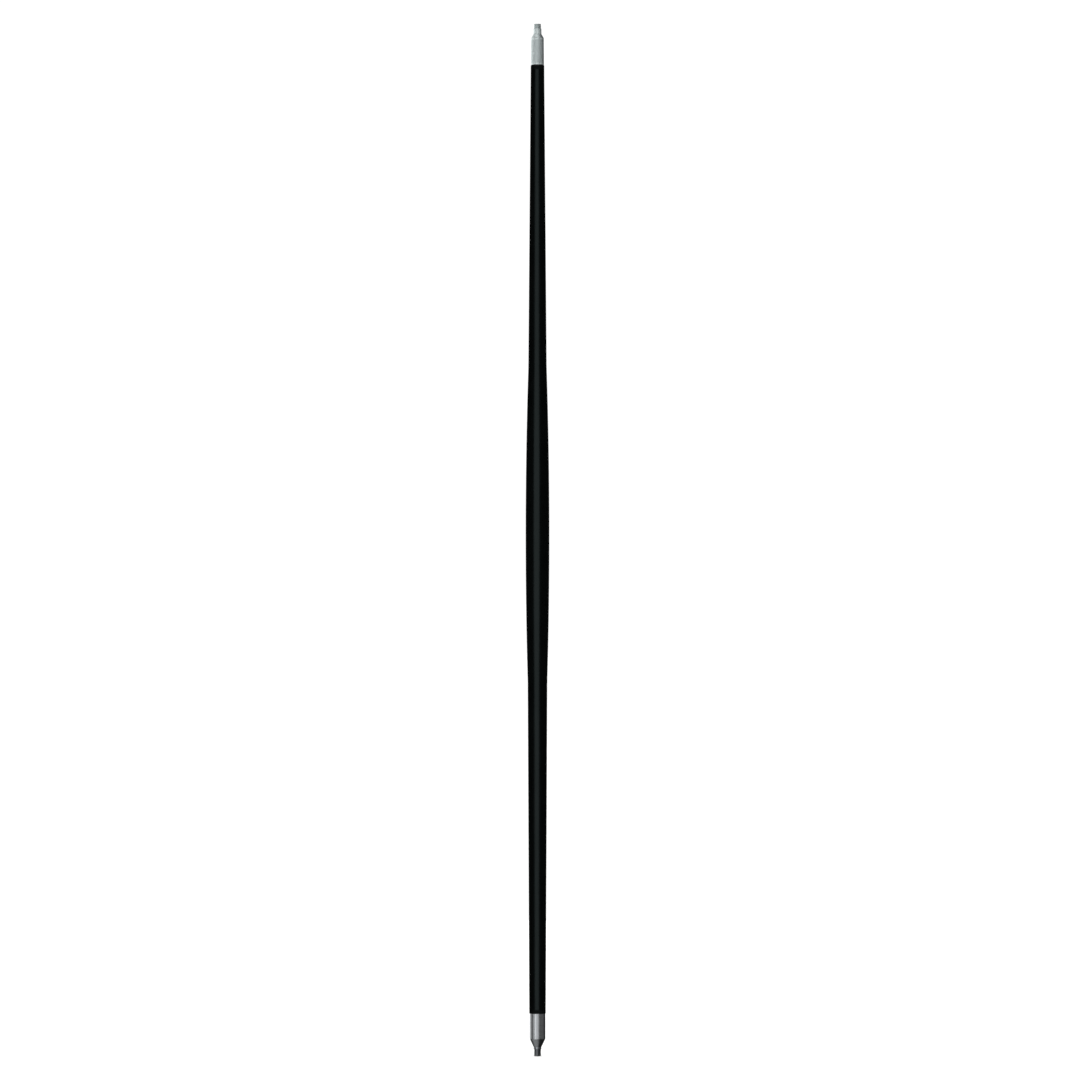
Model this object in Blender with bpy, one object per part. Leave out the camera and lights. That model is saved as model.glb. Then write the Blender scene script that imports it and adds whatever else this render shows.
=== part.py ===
"""Telescopic roller extension pole, collapsed: butt stud down, head stud up, +Z along the pole.

The outer pole is a black skin over two tapered wooden cores and a swell core, built round an aluminium
tube. The inner pole slides in that tube. A sixth of a turn of it, either way from free, swings an
eccentric cam against the tube's bore and locks it.
"""

import math

import bmesh
import bpy
from mathutils import Matrix, Vector

# Driving dimensions, in metres. Heights are measured up from the end of the butt stud.
LENGTH = 1.450
TRAVEL = 1.080
SIDES = 32
SMALL_SIDES = 20

JOINT_GAP = 0.0001  # round a bonded, pressed or screwed joint
RUNNING_GAP = 0.00015  # round a piece that slides or turns
FACE_GAP = 0.0002  # between end faces that meet
CHAMFER = 0.0005

# The black outline: two straight tapers that meet in the middle, under the arc of the swell.
SKIN_BOTTOM = 0.0600
SKIN_TOP = 1.3912
BUTT_RADIUS = 0.01163
MIDDLE_RADIUS = 0.01476
HEAD_RADIUS = 0.00949
SWELL_HEIGHT = 0.7320
SWELL_RADIUS = 0.01672
SWELL_ARC = 7.250  # radius of the arc along the pole
SWELL_BLEND = 0.00014  # how far the arc and the tapers melt into each other
SKIN_WALL = 0.0007
SWELL_STEPS = 18
CORE_TOP = 1.2500  # above this the skin lies too near the tube to need a core
SWELL_CORE_LEAST_WALL = 0.0004

# The outer tube and what closes its ends.
TUBE_OUTER = 0.0086
TUBE_INNER = 0.0076
TUBE_BOTTOM = 0.0283
BUSH_LENGTH = 0.0400
BUSH_FLANGE = 0.0009
BUSH_FLANGE_RADIUS = 0.0092

# The threaded studs, 10 mm across the crests, with a plain neck at the shoulder.
STUD_RADIUS = 0.0050
NECK_RADIUS = 0.0055
NOSE_RADIUS = 0.0058
HEAD_NECK = 0.0078
BUTT_NECK = 0.0035

# The butt ferrule, its plug and its pin.
BUTT_NOSE_HEIGHT = 0.0133
BUTT_SHOULDER_HEIGHT = 0.0243
BUTT_FERRULE_RADIUS = 0.0111
SPIGOT_RADIUS = 0.0108
SPIGOT_LENGTH = 0.0300
BUTT_PLUG_BOTTOM = 0.0310
BUTT_PLUG_LENGTH = 0.0530
BUTT_STUD_TOP = 0.0620
BUTT_PIN_HEIGHT = 0.0740
BUMPER_LENGTH = 0.0110

# The head ferrule, which the hand grips to turn and slide the inner pole.
HEAD_BASE_RADIUS = 0.00903
HEAD_TOP_RADIUS = 0.00875
HEAD_SHOULDER_HEIGHT = 1.4302
HEAD_NOSE_HEIGHT = 1.4355
HEAD_PIN_HEIGHT = 1.4085
HEAD_PIN_TURN = math.radians(-41)  # from the front, towards the left
HEAD_PIN_LENGTH = 0.0174
HEAD_STUD_BOTTOM = 1.4205

# The inner tube.
INNER_OUTER = 0.00635
INNER_INNER = 0.00535
INNER_BOTTOM = 0.1457
INNER_TOP = 1.4185

# The lock, from the screw at the bottom up to the plug in the inner tube.
ECCENTRIC = 0.0006
LOCK_TURN = math.radians(60)  # from locked to free; the same again locks the other way
CAM_RADIUS = 0.0069
CAM_BOTTOM = 0.1051
CAM_LENGTH = 0.0220
SPINDLE_RADIUS = 0.0035
SPINDLE_TOP = 0.1420
WASHER_RADIUS = 0.0060
WASHER_THICKNESS = 0.0011
SCREW_RADIUS = 0.0020
SCREW_HEAD_RADIUS = 0.0043
SCREW_HEAD = 0.0028
SCREW_SHANK = 0.0120
PLUG_FLANGE = 0.0040
PLUG_FLANGE_RADIUS = 0.0071
JOURNAL_RADIUS = 0.0056
JOURNAL_LENGTH = 0.0120
PLUG_SHOULDER = 0.0020
PLUG_SPIGOT = 0.0300
GUIDE_RING_SLIT = 0.0015

# The stop that keeps the inner pole from pulling out, and the cross pins.
STOP_LENGTH = 0.0120
STOP_RADIUS = 0.0074
PIN_RADIUS = 0.0020
SMALL_PIN_RADIUS = 0.00125
PIN_WALL = 0.0007
SMALL_PIN_WALL = 0.0005
PIN_SLIT = math.radians(40)
PIN_STEPS = 16


# ---------------------------------------------------------------- materials

def material(name, colour, roughness, metallic=0.0):
    made = bpy.data.materials.new(name)
    made.use_nodes = True
    shader = made.node_tree.nodes["Principled BSDF"]
    shader.inputs["Base Color"].default_value = (*colour, 1.0)
    shader.inputs["Roughness"].default_value = roughness
    shader.inputs["Metallic"].default_value = metallic
    return made


# ---------------------------------------------------------------- building blocks

def clear_scene():
    for obj in list(bpy.data.objects):
        bpy.data.objects.remove(obj)


def body(name, location=(0.0, 0.0, 0.0), parent=None):
    """An empty on a joint's axis, which carries the pieces of one rigid body."""
    empty = bpy.data.objects.new(name, None)
    bpy.context.scene.collection.objects.link(empty)
    empty.location = location
    empty.parent = parent
    return empty


def finish(mesh, name, finish_material, carrier, location):
    """Makes the mesh a smooth-shaded object at location, in the carrier's own space."""
    obj = bpy.data.objects.new(name, mesh)
    mesh.shade_smooth()
    mesh.set_sharp_from_angle(angle=math.radians(30))
    if finish_material is not None:
        mesh.materials.append(finish_material)
    bpy.context.scene.collection.objects.link(obj)
    obj.parent = carrier
    obj.location = location
    return obj


def mesh_of(form, name):
    bmesh.ops.remove_doubles(form, verts=form.verts, dist=1e-6)
    bmesh.ops.recalc_face_normals(form, faces=form.faces)
    mesh = bpy.data.meshes.new(name)
    form.to_mesh(mesh)
    form.free()
    return mesh


def turned(name, profile, finish_material, carrier, location=(0.0, 0.0, 0.0), sides=SIDES):
    """Spins a closed profile of (radius, height) points about the vertical axis. A profile with points at
    radius 0 makes a solid piece, and one with none makes a ring or a tube."""
    form = bmesh.new()
    points = [form.verts.new((radius, 0.0, height)) for radius, height in profile]
    solid = min(radius for radius, _ in profile) < 1e-9
    ends = list(zip(points, points[1:] + points[:1]))
    if solid:
        ends = [(a, b) for a, b in ends if max(a.co.x, b.co.x) > 1e-9]
    edges = [form.edges.new(pair) for pair in ends]
    bmesh.ops.spin(
        form,
        geom=points + edges,
        axis=(0.0, 0.0, 1.0),
        cent=(0.0, 0.0, 0.0),
        steps=sides,
        angle=math.tau,
        use_merge=True,
    )
    return finish(mesh_of(form, name), name, finish_material, carrier, location)


def rod_profile(radius, length, chamfer=CHAMFER):
    return [
        (0.0, 0.0),
        (radius - chamfer, 0.0),
        (radius, chamfer),
        (radius, length - chamfer),
        (radius - chamfer, length),
        (0.0, length),
    ]


def ring_profile(inner, outer, length, chamfer=CHAMFER):
    return [
        (inner, 0.0),
        (outer - chamfer, 0.0),
        (outer, chamfer),
        (outer, length - chamfer),
        (outer - chamfer, length),
        (inner, length),
    ]


def drill(obj, cutter):
    """Takes the cutter's shape out of obj."""
    cut = obj.modifiers.new("hole", "BOOLEAN")
    cut.operation = "DIFFERENCE"
    cut.solver = "EXACT"
    cut.object = cutter


def cross_cutter(name, carrier, radius, length, height, turn):
    """A level round cutter through the axis, turned about +Z from the front."""
    cutter = turned(
        name,
        [(0.0, -length / 2), (radius, -length / 2), (radius, length / 2), (0.0, length / 2)],
        None,
        carrier,
        (0.0, 0.0, height),
        SMALL_SIDES,
    )
    cutter.rotation_euler = (math.pi / 2, 0.0, turn)
    cutter.hide_render = True
    cutter.display_type = "WIRE"
    return cutter


def dowel(name, finish_material, carrier, radius, length, height, turn):
    """A solid pin with chamfered ends, which lies level through the axis."""
    profile = [(across, along - length / 2) for across, along in rod_profile(radius, length)]
    pin = turned(name, profile, finish_material, carrier, (0.0, 0.0, height), SMALL_SIDES)
    pin.rotation_euler = (math.pi / 2, 0.0, turn)
    return pin


def spring_pin(name, finish_material, carrier, radius, wall, length, height, turn):
    """A rolled pin, C-shaped in section, which lies level through the axis."""
    form = bmesh.new()
    span = math.tau - PIN_SLIT
    angles = [PIN_SLIT / 2 + span * step / PIN_STEPS for step in range(PIN_STEPS + 1)]
    outline = [(radius * math.cos(a), radius * math.sin(a)) for a in angles]
    outline += [((radius - wall) * math.cos(a), (radius - wall) * math.sin(a)) for a in reversed(angles)]
    bottom = form.faces.new([form.verts.new((x, y, -length / 2)) for x, y in outline])
    top = bmesh.ops.extrude_face_region(form, geom=[bottom])["geom"]
    moved = [part for part in top if isinstance(part, bmesh.types.BMVert)]
    bmesh.ops.translate(form, verts=moved, vec=(0.0, 0.0, length))
    pin = finish(mesh_of(form, name), name, finish_material, carrier, (0.0, 0.0, height))
    pin.rotation_euler = (math.pi / 2, 0.0, turn)
    return pin


# ---------------------------------------------------------------- the black outline

def taper_radius(height):
    """The straight tapers alone, thickest where they meet at the middle of the swell."""
    if height < SWELL_HEIGHT:
        share = (height - SKIN_BOTTOM) / (SWELL_HEIGHT - SKIN_BOTTOM)
        return BUTT_RADIUS + share * (MIDDLE_RADIUS - BUTT_RADIUS)
    share = (height - SWELL_HEIGHT) / (SKIN_TOP - SWELL_HEIGHT)
    return MIDDLE_RADIUS + share * (HEAD_RADIUS - MIDDLE_RADIUS)


def outline_radius(height):
    """The tapers with the swell's arc over them, melted together where they cross."""
    taper = taper_radius(height)
    drop = SWELL_ARC - math.sqrt(SWELL_ARC**2 - (height - SWELL_HEIGHT) ** 2)
    arc = SWELL_RADIUS - drop
    melt = max(SWELL_BLEND - abs(arc - taper), 0.0) / SWELL_BLEND
    return max(arc, taper) + melt * melt * SWELL_BLEND / 4


def swell_span():
    """The heights between which the arc stands out of the tapers."""
    reach = math.sqrt(2 * SWELL_ARC * (SWELL_RADIUS - MIDDLE_RADIUS)) * 1.45
    return SWELL_HEIGHT - reach, SWELL_HEIGHT + reach


def outline(bottom, top, inset):
    """(radius, height) points up the black outline, moved in by inset."""
    low, high = swell_span()
    steps = [low + (high - low) * step / SWELL_STEPS for step in range(SWELL_STEPS + 1)]
    heights = [bottom] + [height for height in steps if bottom < height < top] + [top]
    return [(outline_radius(height) - inset, height) for height in heights]


# ---------------------------------------------------------------- the outer pole

def body_skin(carrier, black):
    outer = outline(SKIN_BOTTOM, SKIN_TOP, 0.0)
    inner = outline(SKIN_BOTTOM, SKIN_TOP, SKIN_WALL)
    return turned("body_skin", outer + inner[::-1], black, carrier)


def tapered_core(name, bottom, top, carrier, wood):
    """A wooden core, bored for the tube and turned to the straight taper under the skin."""
    inset = SKIN_WALL + JOINT_GAP
    bore = TUBE_OUTER + JOINT_GAP
    profile = [
        (bore, 0.0),
        (taper_radius(bottom) - inset, 0.0),
        (taper_radius(top) - inset, top - bottom),
        (bore, top - bottom),
    ]
    return turned(name, profile, wood, carrier, (0.0, 0.0, bottom))


def swell_core(carrier, wood):
    """The barrel-shaped sleeve over the joint of the two cores, which gives the grip its swell. It ends
    where its wall would get too thin to turn."""
    inset = SKIN_WALL + JOINT_GAP
    least_rise = SWELL_CORE_LEAST_WALL + JOINT_GAP
    heights = [height for _, height in outline(*swell_span(), 0.0)]
    thick = [h for h in heights if outline_radius(h) - taper_radius(h) > least_rise]
    bottom, top = thick[0], thick[-1]
    outer = outline(bottom, top, inset)
    heights = [bottom, SWELL_HEIGHT, top]
    inner = [(taper_radius(height) - inset + JOINT_GAP, height) for height in heights]
    return turned("swell_core", outer + inner[::-1], wood, carrier)


def outer_tube(carrier, metal):
    profile = ring_profile(TUBE_INNER, TUBE_OUTER, SKIN_TOP - TUBE_BOTTOM, 0.0001)
    return turned("outer_tube", profile, metal, carrier, (0.0, 0.0, TUBE_BOTTOM))


def mouth_bush(carrier, plastic):
    """The guide in the tube's mouth. Its flange caps the tube and the skin, and stops the ferrule."""
    bore = INNER_OUTER + RUNNING_GAP
    sleeve = TUBE_INNER - JOINT_GAP
    flange_bottom = BUSH_LENGTH + FACE_GAP
    profile = [
        (bore, 0.0),
        (sleeve - CHAMFER, 0.0),
        (sleeve, CHAMFER),
        (sleeve, flange_bottom),
        (BUSH_FLANGE_RADIUS, flange_bottom),
        (BUSH_FLANGE_RADIUS, flange_bottom + BUSH_FLANGE),
        (bore, flange_bottom + BUSH_FLANGE),
    ]
    return turned("mouth_bush", profile, plastic, carrier, (0.0, 0.0, SKIN_TOP - BUSH_LENGTH))


def butt_ferrule(carrier, metal):
    """The polished cup on the butt: cone nose, bare sleeve, and a spigot that runs up under the skin."""
    bore = TUBE_OUTER + JOINT_GAP
    stud_hole = STUD_RADIUS + JOINT_GAP
    seat = TUBE_BOTTOM - FACE_GAP
    sleeve_top = SKIN_BOTTOM - FACE_GAP
    top = sleeve_top + SPIGOT_LENGTH
    profile = [
        (stud_hole, BUTT_NOSE_HEIGHT),
        (NOSE_RADIUS, BUTT_NOSE_HEIGHT),
        (BUTT_FERRULE_RADIUS - CHAMFER / 2, BUTT_SHOULDER_HEIGHT - CHAMFER),
        (BUTT_FERRULE_RADIUS, BUTT_SHOULDER_HEIGHT + CHAMFER),
        (BUTT_FERRULE_RADIUS, sleeve_top),
        (SPIGOT_RADIUS, sleeve_top),
        (SPIGOT_RADIUS, top),
        (bore, top),
        (bore, seat),
        (stud_hole, seat),
    ]
    profile = [(radius, height - BUTT_NOSE_HEIGHT) for radius, height in profile]
    return turned("butt_ferrule", profile, metal, carrier, (0.0, 0.0, BUTT_NOSE_HEIGHT))


def butt_plug(carrier, metal):
    """The tapped slug in the tube's lower end, which the butt stud screws into."""
    radius = TUBE_INNER - JOINT_GAP
    hole = STUD_RADIUS + JOINT_GAP
    depth = BUTT_STUD_TOP + 0.002 - BUTT_PLUG_BOTTOM
    profile = [
        (0.0, depth),
        (hole, depth),
        (hole, 0.0),
        (radius - CHAMFER, 0.0),
        (radius, CHAMFER),
        (radius, BUTT_PLUG_LENGTH - CHAMFER),
        (radius - CHAMFER, BUTT_PLUG_LENGTH),
        (0.0, BUTT_PLUG_LENGTH),
    ]
    return turned("butt_plug", profile, metal, carrier, (0.0, 0.0, BUTT_PLUG_BOTTOM))


def stud(name, free_end, neck, shank, carrier, metal):
    """A shouldered stud: free threaded end, plain neck, and a shank that screws in behind the neck. It is
    drawn with its free end at height 0 and its shank up."""
    neck_top = free_end - FACE_GAP
    profile = [
        (0.0, 0.0),
        (STUD_RADIUS - CHAMFER, 0.0),
        (STUD_RADIUS, CHAMFER),
        (STUD_RADIUS, neck_top - neck),
        (NECK_RADIUS, neck_top - neck),
        (NECK_RADIUS, neck_top),
        (STUD_RADIUS, neck_top),
        (STUD_RADIUS, neck_top + shank - CHAMFER),
        (STUD_RADIUS - CHAMFER, neck_top + shank),
        (0.0, neck_top + shank),
    ]
    return turned(name, profile, metal, carrier)


def tube_bumper(carrier, rubber):
    """The rubber buffer over the plug, which takes the knock when the pole is shut."""
    location = (0.0, 0.0, BUTT_PLUG_BOTTOM + BUTT_PLUG_LENGTH + FACE_GAP)
    radius = TUBE_INNER - JOINT_GAP
    profile = [
        (0.0, 0.0),
        (radius, 0.0),
        (radius, BUMPER_LENGTH - 4 * CHAMFER),
        (radius - 4 * CHAMFER, BUMPER_LENGTH),
        (0.0, BUMPER_LENGTH),
    ]
    return turned("tube_bumper", profile, rubber, carrier, location)


def make_outer_pole(carrier, finishes):
    body_skin(carrier, finishes["black"])
    core_bottom = SKIN_BOTTOM + SPIGOT_LENGTH + FACE_GAP
    tapered_core("lower_core", core_bottom, SWELL_HEIGHT - FACE_GAP / 2, carrier, finishes["wood"])
    tapered_core("upper_core", SWELL_HEIGHT + FACE_GAP / 2, CORE_TOP, carrier, finishes["wood"])
    swell_core(carrier, finishes["wood"])
    tube = outer_tube(carrier, finishes["aluminium"])
    mouth_bush(carrier, finishes["nylon"])
    ferrule = butt_ferrule(carrier, finishes["polished"])
    plug = butt_plug(carrier, finishes["aluminium"])
    shank = BUTT_STUD_TOP - BUTT_NOSE_HEIGHT
    stud("butt_stud", BUTT_NOSE_HEIGHT, BUTT_NECK, shank, carrier, finishes["steel"])
    tube_bumper(carrier, finishes["rubber"])
    length = 2 * SPIGOT_RADIUS - CHAMFER
    spring_pin("butt_pin", finishes["steel"], carrier, PIN_RADIUS, PIN_WALL, length, BUTT_PIN_HEIGHT, 0.0)
    hole = cross_cutter("butt_pin_hole", carrier, PIN_RADIUS + JOINT_GAP, 0.04, BUTT_PIN_HEIGHT, 0.0)
    for bored in (tube, ferrule, plug):
        drill(bored, hole)


# ---------------------------------------------------------------- the inner pole

def head_ferrule(carrier, metal, location):
    bore = INNER_OUTER + JOINT_GAP
    stud_hole = STUD_RADIUS + JOINT_GAP
    base = location[2]
    seat = INNER_TOP + FACE_GAP - base
    shoulder = HEAD_SHOULDER_HEIGHT - base
    nose = HEAD_NOSE_HEIGHT - base
    profile = [
        (bore, 0.0),
        (HEAD_BASE_RADIUS, 0.0),
        (HEAD_TOP_RADIUS, shoulder - CHAMFER),
        (HEAD_TOP_RADIUS - CHAMFER / 2, shoulder + CHAMFER),
        (NOSE_RADIUS, nose),
        (stud_hole, nose),
        (stud_hole, seat),
        (bore, seat),
    ]
    return turned("head_ferrule", profile, metal, carrier, location)


def lock_plug(carrier, plastic):
    """The plug in the inner tube's tail: a flange over the cam, the journal of the guide ring, a shoulder
    that seats the tube, and the spigot inside it."""
    bottom = CAM_BOTTOM + CAM_LENGTH + FACE_GAP
    journal = bottom + PLUG_FLANGE
    shoulder = journal + JOURNAL_LENGTH
    spigot = shoulder + PLUG_SHOULDER
    top = spigot + PLUG_SPIGOT
    profile = [
        (0.0, bottom),
        (PLUG_FLANGE_RADIUS - CHAMFER, bottom),
        (PLUG_FLANGE_RADIUS, bottom + CHAMFER),
        (PLUG_FLANGE_RADIUS, journal),
        (JOURNAL_RADIUS, journal),
        (JOURNAL_RADIUS, shoulder),
        (INNER_OUTER, shoulder),
        (INNER_OUTER, spigot),
        (INNER_INNER - JOINT_GAP, spigot),
        (INNER_INNER - JOINT_GAP, top - CHAMFER),
        (INNER_INNER - JOINT_GAP - CHAMFER, top),
        (0.0, top),
    ]
    profile = [(radius, height - bottom) for radius, height in profile]
    return turned("lock_plug", profile, plastic, carrier, (0.0, 0.0, bottom))


def guide_ring(carrier, plastic):
    """The split ring that runs in the tube's bore. It slides with the inner pole but doesn't turn."""
    bottom = CAM_BOTTOM + CAM_LENGTH + PLUG_FLANGE + 2 * FACE_GAP
    length = JOURNAL_LENGTH - 2 * FACE_GAP
    profile = ring_profile(JOURNAL_RADIUS + RUNNING_GAP, TUBE_INNER - RUNNING_GAP, length)
    ring = turned("guide_ring", profile, plastic, carrier, (0.0, 0.0, bottom))
    form = bmesh.new()
    bmesh.ops.create_cube(form, size=1.0)
    bmesh.ops.scale(form, verts=form.verts, vec=(GUIDE_RING_SLIT, 2 * TUBE_INNER, 2 * JOURNAL_LENGTH))
    bmesh.ops.translate(form, verts=form.verts, vec=(0.0, TUBE_INNER, 0.0))
    slit = finish(mesh_of(form, "guide_ring_slit"), "guide_ring_slit", None, carrier, ring.location)
    slit.hide_render = True
    slit.display_type = "WIRE"
    drill(ring, slit)
    return ring


def lock_spindle(carrier, metal, offset):
    """The eccentric pin under the plug, tapped at its end for the screw that holds the cam."""
    bottom = CAM_BOTTOM - FACE_GAP / 2
    hole = SCREW_RADIUS + JOINT_GAP
    depth = SCREW_SHANK + 0.001
    length = SPINDLE_TOP - bottom
    profile = [
        (0.0, depth),
        (hole, depth),
        (hole, 0.0),
        (SPINDLE_RADIUS, 0.0),
        (SPINDLE_RADIUS, length - CHAMFER),
        (SPINDLE_RADIUS - CHAMFER, length),
        (0.0, length),
    ]
    return turned("lock_spindle", profile, metal, carrier, (offset.x, offset.y, bottom), SMALL_SIDES)


def cam_washer(carrier, metal, offset):
    profile = ring_profile(SCREW_RADIUS + JOINT_GAP, WASHER_RADIUS, WASHER_THICKNESS, 0.0002)
    height = CAM_BOTTOM - FACE_GAP - WASHER_THICKNESS
    return turned("cam_washer", profile, metal, carrier, (offset.x, offset.y, height), SMALL_SIDES)


def cam_screw(carrier, metal, offset):
    """A pan-head screw with a slotted head, point up."""
    head_top = SCREW_HEAD
    profile = [
        (0.0, 0.0),
        (SCREW_HEAD_RADIUS - 3 * CHAMFER, 0.0),
        (SCREW_HEAD_RADIUS, 2 * CHAMFER),
        (SCREW_HEAD_RADIUS, head_top),
        (SCREW_RADIUS, head_top),
        (SCREW_RADIUS, head_top + SCREW_SHANK - CHAMFER),
        (SCREW_RADIUS - CHAMFER, head_top + SCREW_SHANK),
        (0.0, head_top + SCREW_SHANK),
    ]
    height = CAM_BOTTOM - 2 * FACE_GAP - WASHER_THICKNESS - SCREW_HEAD
    screw = turned("cam_screw", profile, metal, carrier, (offset.x, offset.y, height), SMALL_SIDES)
    form = bmesh.new()
    bmesh.ops.create_cube(form, size=1.0)
    bmesh.ops.scale(form, verts=form.verts, vec=(0.0010, 0.02, 0.0024))
    slot = finish(mesh_of(form, "cam_screw_slot"), "cam_screw_slot", None, carrier, screw.location)
    slot.hide_render = True
    slot.display_type = "WIRE"
    drill(screw, slot)
    return screw


def lock_cam(carrier, plastic):
    """The eccentric sleeve. Its carrier stands on the spindle's axis, its rim is centred to one side."""
    rim_centre = (-ECCENTRIC, 0.0, CAM_BOTTOM)
    cam = turned("lock_cam", rod_profile(CAM_RADIUS, CAM_LENGTH), plastic, carrier, rim_centre)
    bore = SPINDLE_RADIUS + RUNNING_GAP
    profile = [(0.0, -0.01), (bore, -0.01), (bore, CAM_LENGTH + 0.01), (0.0, CAM_LENGTH + 0.01)]
    cutter = turned("cam_bore", profile, None, carrier, (0.0, 0.0, CAM_BOTTOM), SMALL_SIDES)
    cutter.hide_render = True
    cutter.display_type = "WIRE"
    drill(cam, cutter)
    return cam


def make_inner_pole(carrier, finishes, spindle_offset):
    tube_profile = ring_profile(INNER_INNER, INNER_OUTER, INNER_TOP - INNER_BOTTOM, 0.0001)
    tube = turned("inner_tube", tube_profile, finishes["aluminium"], carrier, (0.0, 0.0, INNER_BOTTOM))

    base = SKIN_TOP + BUSH_FLANGE + 2 * FACE_GAP
    ferrule = head_ferrule(carrier, finishes["zinc"], (0.0, 0.0, base))
    stud_end = body("head_stud_end", (0.0, 0.0, LENGTH), carrier)
    stud_end.rotation_euler = (math.pi, 0.0, 0.0)
    free_end = LENGTH - HEAD_NOSE_HEIGHT
    shank = HEAD_NOSE_HEIGHT - HEAD_STUD_BOTTOM
    stud("head_stud", free_end, HEAD_NECK, shank, stud_end, finishes["zinc"])
    place = (HEAD_PIN_HEIGHT, HEAD_PIN_TURN)
    dowel("head_pin", finishes["zinc"], carrier, PIN_RADIUS, HEAD_PIN_LENGTH, *place)
    hole = cross_cutter("head_pin_hole", carrier, PIN_RADIUS + JOINT_GAP, 0.03, *place)
    for bored in (ferrule, tube):
        drill(bored, hole)

    plug = lock_plug(carrier, finishes["nylon"])
    spindle = lock_spindle(carrier, finishes["steel"], spindle_offset)
    seat_top = SPINDLE_TOP + FACE_GAP
    seat_radius = SPINDLE_RADIUS + JOINT_GAP
    profile = [(0.0, -0.05), (seat_radius, -0.05), (seat_radius, 0.0), (0.0, 0.0)]
    seat_place = (spindle_offset.x, spindle_offset.y, seat_top)
    seat = turned("spindle_seat", profile, None, carrier, seat_place, SMALL_SIDES)
    seat.hide_render = True
    seat.display_type = "WIRE"
    drill(plug, seat)
    cam_washer(carrier, finishes["steel"], spindle_offset)
    cam_screw(carrier, finishes["steel"], spindle_offset)

    stop_top = SKIN_TOP - BUSH_LENGTH - TRAVEL - FACE_GAP
    stop_bottom = stop_top - STOP_LENGTH
    stop_profile = ring_profile(INNER_OUTER + JOINT_GAP, STOP_RADIUS, STOP_LENGTH)
    stop = turned("stop_collar", stop_profile, finishes["nylon"], carrier, (0.0, 0.0, stop_bottom))
    pins = {
        "stop_pin": (stop_bottom + STOP_LENGTH / 2, 2 * STOP_RADIUS - CHAMFER, (tube, stop)),
        "lock_plug_pin": (INNER_BOTTOM + PLUG_SPIGOT / 2, 2 * INNER_OUTER - CHAMFER, (tube, plug)),
    }
    for name, (height, length, bored_pieces) in pins.items():
        size = (SMALL_PIN_RADIUS, SMALL_PIN_WALL, length, height, 0.0)
        spring_pin(name, finishes["steel"], carrier, *size)
        hole = cross_cutter(name + "_hole", carrier, SMALL_PIN_RADIUS + JOINT_GAP, 0.03, height, 0.0)
        for bored in bored_pieces:
            drill(bored, hole)


def main():
    clear_scene()
    finishes = {
        "black": material("black_skin", (0.010, 0.011, 0.011), 0.35),
        "wood": material("core_wood", (0.55, 0.40, 0.24), 0.7),
        "aluminium": material("aluminium", (0.62, 0.63, 0.64), 0.35, 1.0),
        "nylon": material("black_nylon", (0.02, 0.02, 0.02), 0.5),
        "polished": material("polished_steel", (0.55, 0.56, 0.57), 0.2, 1.0),
        "zinc": material("zinc_plate", (0.58, 0.60, 0.60), 0.4, 1.0),
        "steel": material("dark_steel", (0.30, 0.30, 0.31), 0.35, 1.0),
        "rubber": material("rubber", (0.03, 0.03, 0.03), 0.8),
    }
    # Locked, the spindle stands a lock's turn short of the side where it centres the cam in the bore.
    spindle_offset = Matrix.Rotation(-LOCK_TURN, 3, "Z") @ Vector((ECCENTRIC, 0.0, 0.0))

    outer = body("outer_pole")
    glide = body("glide", parent=outer)
    inner = body("inner_pole", parent=glide)
    cam = body("cam", (spindle_offset.x, spindle_offset.y, 0.0), inner)

    make_outer_pole(outer, finishes)
    guide_ring(glide, finishes["nylon"])
    make_inner_pole(inner, finishes, spindle_offset)
    lock_cam(cam, finishes["nylon"])


main()
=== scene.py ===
import math

import bmesh
import bpy
from mathutils import Matrix, Vector


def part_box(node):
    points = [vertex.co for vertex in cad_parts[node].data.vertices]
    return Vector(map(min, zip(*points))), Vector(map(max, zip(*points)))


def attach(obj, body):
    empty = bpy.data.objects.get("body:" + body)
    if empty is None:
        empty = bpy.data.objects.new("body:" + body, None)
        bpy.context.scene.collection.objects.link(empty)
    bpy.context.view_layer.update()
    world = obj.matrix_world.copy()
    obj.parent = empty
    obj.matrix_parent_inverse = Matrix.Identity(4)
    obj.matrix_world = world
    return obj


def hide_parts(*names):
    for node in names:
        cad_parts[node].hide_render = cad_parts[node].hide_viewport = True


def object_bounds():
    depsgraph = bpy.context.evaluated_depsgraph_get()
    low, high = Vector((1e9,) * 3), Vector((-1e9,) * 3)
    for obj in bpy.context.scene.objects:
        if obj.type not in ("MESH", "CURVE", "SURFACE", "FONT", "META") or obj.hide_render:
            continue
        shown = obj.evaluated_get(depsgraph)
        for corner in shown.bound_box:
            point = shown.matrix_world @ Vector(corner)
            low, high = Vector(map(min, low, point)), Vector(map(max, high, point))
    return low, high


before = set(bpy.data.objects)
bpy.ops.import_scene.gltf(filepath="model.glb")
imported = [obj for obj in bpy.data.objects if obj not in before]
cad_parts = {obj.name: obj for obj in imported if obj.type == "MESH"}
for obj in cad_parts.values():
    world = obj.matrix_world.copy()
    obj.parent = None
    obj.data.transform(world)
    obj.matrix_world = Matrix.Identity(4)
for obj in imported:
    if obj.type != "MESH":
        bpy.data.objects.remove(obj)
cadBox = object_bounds()
print("frame: loaded", len(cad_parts), "nodes")

mm = 0.001  # bores, holes and seats below are radii


def linearColour(hexColour, alpha=1.0):
    # sRGB hex to the linear RGBA that Blender's sockets take
    values = [int(hexColour[i:i + 2], 16) / 255 for i in (1, 3, 5)]
    return [v / 12.92 if v <= 0.04045 else ((v + 0.055) / 1.055) ** 2.4 for v in values] + [alpha]


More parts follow.
